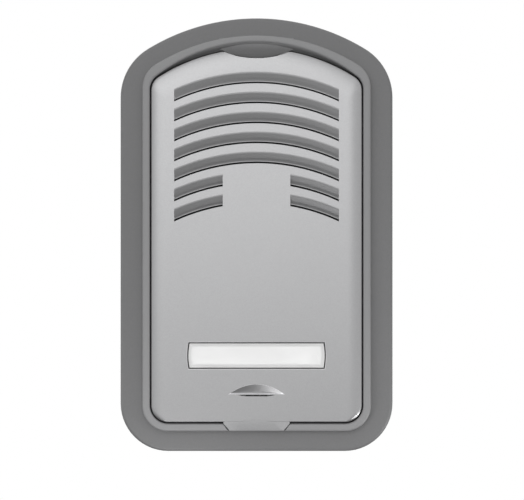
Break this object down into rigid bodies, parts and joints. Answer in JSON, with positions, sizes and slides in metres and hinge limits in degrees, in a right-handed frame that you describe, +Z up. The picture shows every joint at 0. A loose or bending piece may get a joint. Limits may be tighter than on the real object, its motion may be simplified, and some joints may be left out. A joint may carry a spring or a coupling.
{
  "type": "intercom door station",
  "caption": "Wall door station with an arched grey surround, louvred silver plate, lit name-window call push and crescent microphone port.",
  "frame": {"origin": "centre of the four wall-screw holes, on the wall", "axes": "+Z up, +Y into the wall, -Y out of the front, +X to the right seen from the front"},
  "size_m": [0.11, 0.0328, 0.175],
  "materials": {
    "housing_plastic": "dark grey satin moulded plastic, fine spark texture",
    "plate_silver": "satin silver paint with a fine grain",
    "base_plastic": "dark grey moulded plastic, matt",
    "gasket_foam": "closed-cell black foam",
    "grommet_rubber": "soft black rubber",
    "screw_steel": "zinc-plated steel",
    "speaker_cloth": "black acoustic cloth",
    "speaker_steel": "plated pressed steel",
    "ferrite": "dark grey sintered magnet",
    "film": "thin formed film",
    "coil_copper": "enamelled copper wire",
    "lead_red": "red insulated wire",
    "board_green": "green solder resist",
    "tag_board": "brown laminate",
    "terminal_green": "green moulded terminal block",
    "component_black": "black moulded component",
    "can_aluminium": "sleeved aluminium can",
    "resistor_beige": "lacquered resistor body",
    "trimmer_blue": "blue trimmer body",
    "rotor_white": "white trimmer rotor",
    "led_lens": "white light-emitting diode",
    "spring_steel": "bright spring wire",
    "carrier_white": "translucent white moulding",
    "card_paper": "plain white card",
    "lens_clear": "clear moulded cap"
  },
  "bodies": {
    "housing": {"surround_housing": "housing_plastic", "wall_base": "base_plastic", "wall_gasket": "gasket_foam", "cable_grommet": "grommet_rubber", "housing_screws": "screw_steel", "plate_lock_screw": "screw_steel", "plate_seal": "gasket_foam"},
    "front_module": {"front_plate": "plate_silver", "speaker_cloth": "speaker_cloth", "speaker_gasket": "gasket_foam", "speaker_basket": "speaker_steel", "speaker_yoke": "speaker_steel", "speaker_magnet": "ferrite", "speaker_top_plate": "speaker_steel", "speaker_voice_coil": "coil_copper", "speaker_diaphragm": "film", "speaker_terminal_strip": "tag_board", "speaker_clamps": "screw_steel", "speaker_clamp_screws": "screw_steel", "speaker_leads": "lead_red", "mic_boot": "grommet_rubber", "mic_capsule": "can_aluminium", "mic_leads": "lead_red", "circuit_board": "board_green", "board_screws": "screw_steel", "terminal_block": "terminal_green", "terminal_screws": "screw_steel", "amplifier_chip": "component_black", "capacitors": "can_aluminium", "resistors": "resistor_beige", "speaker_trimmer_body": "trimmer_blue", "mic_trimmer_body": "trimmer_blue", "window_leds": "led_lens", "call_switch_body": "component_black", "button_springs": "spring_steel"},
    "call_button": {"call_button_lens": "lens_clear", "name_card": "card_paper", "call_button_carrier": "carrier_white"},
    "call_switch": {"call_switch_plunger": "rotor_white"},
    "speaker_trimmer": {"speaker_trimmer_rotor": "rotor_white"},
    "mic_trimmer": {"mic_trimmer_rotor": "rotor_white"}
  },
  "joints": [
    {"name": "front_plate_tilt", "type": "hinge", "parent": "housing", "child": "front_module", "pos_m": [0, -0.0295, 0.0728], "axis": [-1, 0, 0], "range_deg": [0, 25]},
    {"name": "call_button_press", "type": "slide", "parent": "front_module", "child": "call_button", "axis": [0, 1, 0], "range_m": [0, 0.0012], "stiffness_N_per_m": 400, "springref_m": -0.002, "deforming": ["button_springs"]},
    {"name": "call_switch_press", "type": "slide", "parent": "front_module", "child": "call_switch", "axis": [0, 1, 0], "range_m": [0, 0.0012], "stiffness_N_per_m": 50, "springref_m": -0.001},
    {"name": "speaker_trimmer_turn", "type": "hinge", "parent": "front_module", "child": "speaker_trimmer", "pos_m": [-0.007, -0.015, -0.052], "axis": [0, 1, 0], "range_deg": [-135, 135]},
    {"name": "mic_trimmer_turn", "type": "hinge", "parent": "front_module", "child": "mic_trimmer", "pos_m": [0.007, -0.015, -0.052], "axis": [0, 1, 0], "range_deg": [-135, 135]}
  ],
  "couplings": [
    {"joint": "call_switch_press", "follows": "call_button_press", "ratio": 1}
  ]
}
